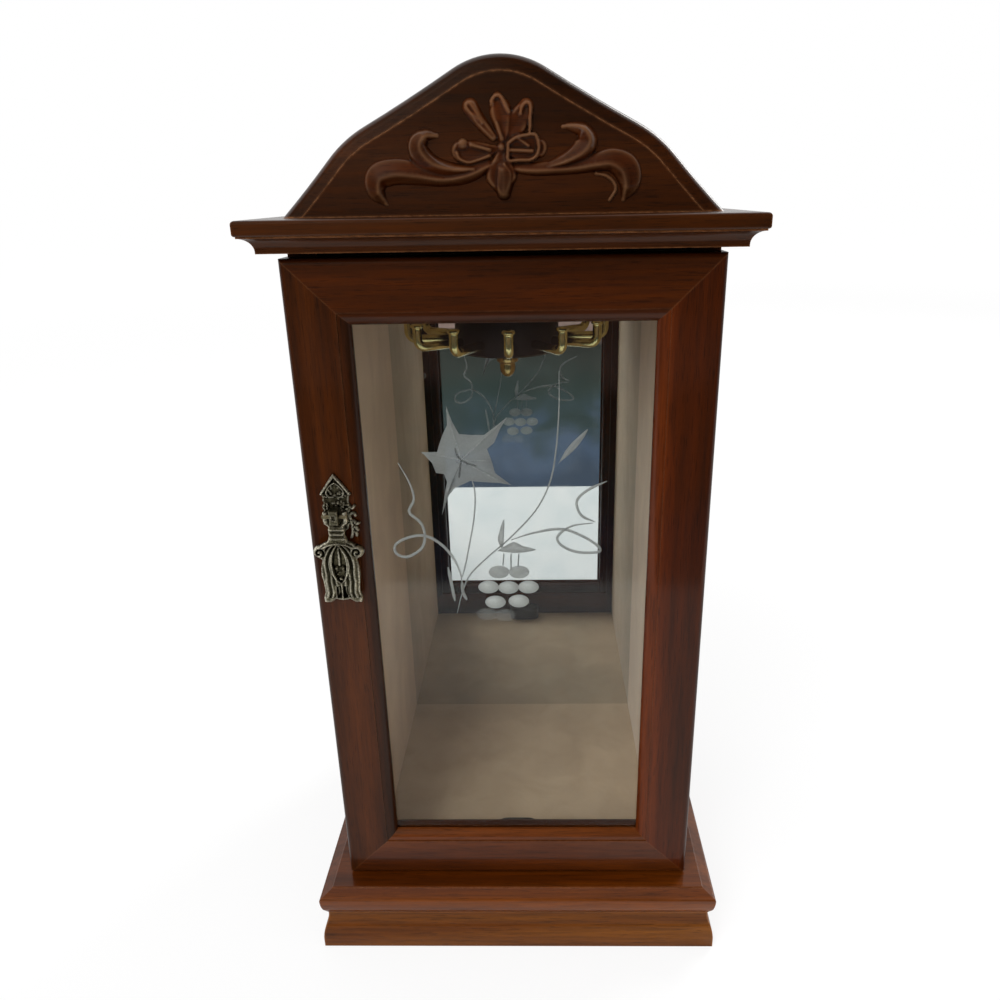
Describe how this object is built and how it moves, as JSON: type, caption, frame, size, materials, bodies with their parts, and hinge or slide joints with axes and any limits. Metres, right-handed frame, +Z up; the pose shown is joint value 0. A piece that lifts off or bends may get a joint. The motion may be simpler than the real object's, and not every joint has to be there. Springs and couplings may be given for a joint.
{
  "type": "jewellery cabinet with a glazed door and a necklace carousel",
  "caption": "Upright dark wooden jewellery cabinet with a carved pediment, an etched glass door, a drop pull, a lined interior with a mirror and a turning carousel of brass hooks",
  "frame": {"origin": "centre of the footprint on the floor, under the middle of the overall box", "axes": "+Z up from the floor; +Y towards the back, so the door faces -Y; +X to the right as seen from the front"},
  "size_m": [0.1736, 0.1546, 0.3576],
  "materials": {
    "dark_lacquered_wood": "satin_lacquer",
    "plywood": "plain",
    "black_lacquered_wood": "gloss_lacquer",
    "green_felt": "felted",
    "taupe_velvet": "short_pile",
    "silvered_mirror": "polished",
    "etched_glass": "clear_with_frosted_vine",
    "zinc_steel": "plated",
    "brass_hardware": "polished",
    "antique_pewter": "antiqued",
    "black_plastic": "moulded"
  },
  "bodies": {
    "root": {"base_board": "dark_lacquered_wood", "plinth_front": "dark_lacquered_wood", "plinth_back": "dark_lacquered_wood", "plinth_left": "dark_lacquered_wood", "plinth_right": "dark_lacquered_wood", "plinth_glue_blocks": "plywood", "bottom_panel": "plywood", "bottom_felt": "green_felt", "case_side_left": "dark_lacquered_wood", "case_side_right": "dark_lacquered_wood", "case_back": "plywood", "lining_left": "taupe_velvet", "lining_right": "taupe_velvet", "lining_floor": "taupe_velvet", "lining_ceiling": "taupe_velvet", "mirror": "silvered_mirror", "crown_board": "dark_lacquered_wood", "pediment_board": "dark_lacquered_wood", "pediment_carving": "dark_lacquered_wood", "catch_housing": "black_plastic", "catch_magnet": "zinc_steel", "carousel_axle": "zinc_steel", "carousel_spacer": "black_lacquered_wood", "carousel_finial": "brass_hardware", "hinge_case_leaves": "brass_hardware"},
    "door": {"door_stile_left": "dark_lacquered_wood", "door_stile_right": "dark_lacquered_wood", "door_rail_top": "dark_lacquered_wood", "door_rail_bottom": "dark_lacquered_wood", "door_glass": "etched_glass", "glazing_beads_side": "dark_lacquered_wood", "glazing_beads_end": "dark_lacquered_wood", "hinge_door_leaves": "brass_hardware", "hinge_pins": "brass_hardware", "door_strike": "zinc_steel", "pull_backplate": "antique_pewter", "pull_post": "antique_pewter", "pull_pin": "zinc_steel"},
    "pull": {"pull_pendant": "antique_pewter"},
    "carousel": {"carousel_disc": "black_lacquered_wood", "carousel_hook_01": "brass_hardware", "carousel_hook_02": "brass_hardware", "carousel_hook_03": "brass_hardware", "carousel_hook_04": "brass_hardware", "carousel_hook_05": "brass_hardware", "carousel_hook_06": "brass_hardware", "carousel_hook_07": "brass_hardware", "carousel_hook_08": "brass_hardware", "carousel_hook_09": "brass_hardware", "carousel_hook_10": "brass_hardware", "carousel_hook_11": "brass_hardware", "carousel_hook_12": "brass_hardware"}
  },
  "joints": [
    {"name": "door_hinge", "type": "hinge", "parent": "root", "child": "door", "pos_m": [0.0752, -0.05275, 0.1636], "axis": [0, 0, 1], "range_deg": [0, 165]},
    {"name": "pull_swing", "type": "hinge", "parent": "door", "child": "pull", "pos_m": [-0.0635, -0.0705, 0.206], "axis": [-1, 0, 0], "range_deg": [0, 85]},
    {"name": "carousel_spin", "type": "hinge", "parent": "root", "child": "carousel", "pos_m": [-0.0016, 0.003, 0.2612], "axis": [0, 0, 1], "continuous": true}
  ]
}
